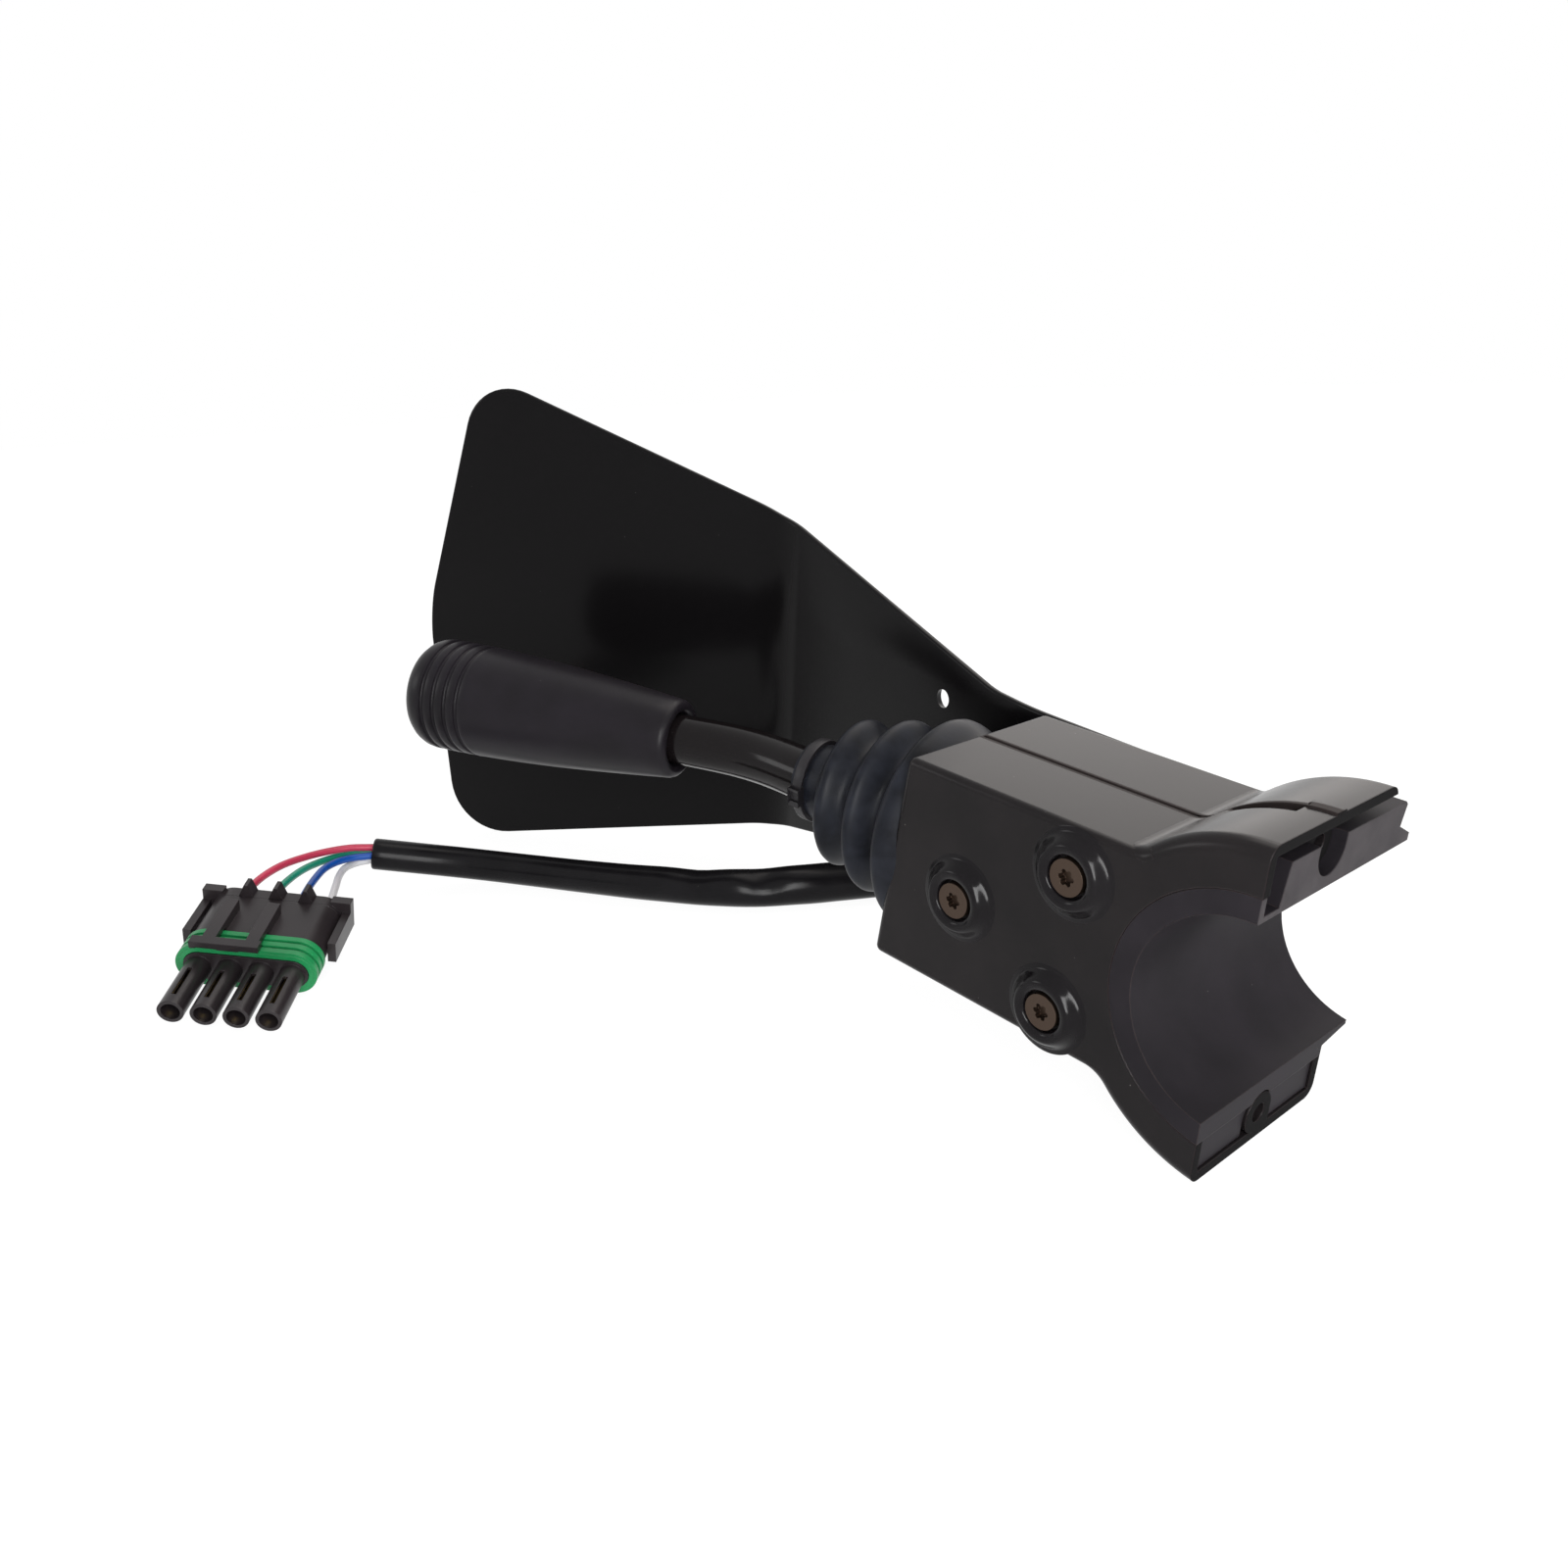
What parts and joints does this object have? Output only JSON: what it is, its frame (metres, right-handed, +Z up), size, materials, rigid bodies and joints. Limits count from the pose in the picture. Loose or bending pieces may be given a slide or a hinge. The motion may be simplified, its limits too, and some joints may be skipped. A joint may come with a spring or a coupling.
{
  "type": "gear selector lever",
  "caption": "Column-mounted gear selector: booted bent lever on a split case that saddles the steering column, with a folded knee guard and a sealed plug on a short lead",
  "frame": {"origin": "on the axis of the steering column, at the middle of the case's depth", "axes": "+Y runs down the column, away from the steering wheel; +Z is up from the table the unit lies on; +X points from the lever's side across the column to the missing clamp half; the case is turned 6.55 degrees about +Y, because it rests on its lower jaw and the corner of its guard"},
  "size_m": [0.3151, 0.2371, 0.1504],
  "materials": {
    "case_plastic": "satin black glass-filled nylon",
    "saddle_plastic": "dull grey-black nylon",
    "guard_plastic": "semi-gloss black sheet",
    "bronzed_screw": "steel with a brown zinc finish",
    "black_screw": "steel, blackened",
    "boot_rubber": "dusty blue-black moulded rubber",
    "tie_plastic": "black nylon",
    "rod_paint": "gloss black on tube",
    "grip_plastic": "matt soft black",
    "cast_alloy": "die-cast",
    "plain_steel": "bright ground steel",
    "spring_steel": "drawn wire",
    "bush_bronze": "sintered bronze",
    "magnet_nickel": "nickel plated magnet",
    "board_laminate": "green coated laminate",
    "lead_inner": "plastic covered wire",
    "gland_rubber": "black rubber",
    "sleeve_vinyl": "glossy black soft tube",
    "wire_red_cover": "plastic covered wire",
    "wire_green_cover": "plastic covered wire",
    "wire_blue_cover": "plastic covered wire",
    "wire_white_cover": "plastic covered wire",
    "connector_plastic": "satin black moulding",
    "seal_rubber": "green silicone",
    "terminal_brass": "plated brass"
  },
  "bodies": {
    "housing": {"front_shell": "case_plastic", "rear_shell": "case_plastic", "column_saddle": "saddle_plastic", "shell_screws": "bronzed_screw", "guard_plate": "guard_plastic", "guard_screws": "black_screw", "boot": "boot_rubber", "pivot_shaft": "plain_steel", "sensor_board": "board_laminate", "board_screws": "plain_steel", "board_leads": "lead_inner", "detent_spring": "spring_steel", "cable_gland": "gland_rubber", "cable_sleeve": "sleeve_vinyl", "wire_red": "wire_red_cover", "wire_green": "wire_green_cover", "wire_blue": "wire_blue_cover", "wire_white": "wire_white_cover", "connector_body": "connector_plastic", "connector_seal": "seal_rubber", "connector_lock": "connector_plastic", "wire_seals": "seal_rubber", "terminals": "terminal_brass"},
    "selector": {"selector_yoke": "cast_alloy", "pivot_bushes": "bush_bronze", "lift_pin": "plain_steel", "lift_spring": "spring_steel", "yoke_magnet": "magnet_nickel"},
    "lever": {"lever_rod": "rod_paint", "grip": "grip_plastic", "boot_tie": "tie_plastic"},
    "plunger": {"detent_plunger": "plain_steel"}
  },
  "joints": [
    {"name": "select", "type": "hinge", "parent": "housing", "child": "selector", "pos_m": [-0.06656, 0, 0.00764], "axis": [0, 1, 0], "range_deg": [-9, 9], "deforming": ["boot"]},
    {"name": "lift", "type": "hinge", "parent": "selector", "child": "lever", "pos_m": [-0.08196, 0, 0.00941], "axis": [0.1141, 0, 0.9935], "range_deg": [0, 8], "stiffness_Nm_per_rad": 3, "springref_deg": -5.73, "deforming": ["boot", "lift_spring"]},
    {"name": "detent", "type": "slide", "parent": "housing", "child": "plunger", "axis": [-0.9935, 0, 0.1141], "range_m": [0, 0.001], "stiffness_N_per_m": 300, "springref_m": 0.003, "deforming": ["detent_spring"]}
  ]
}
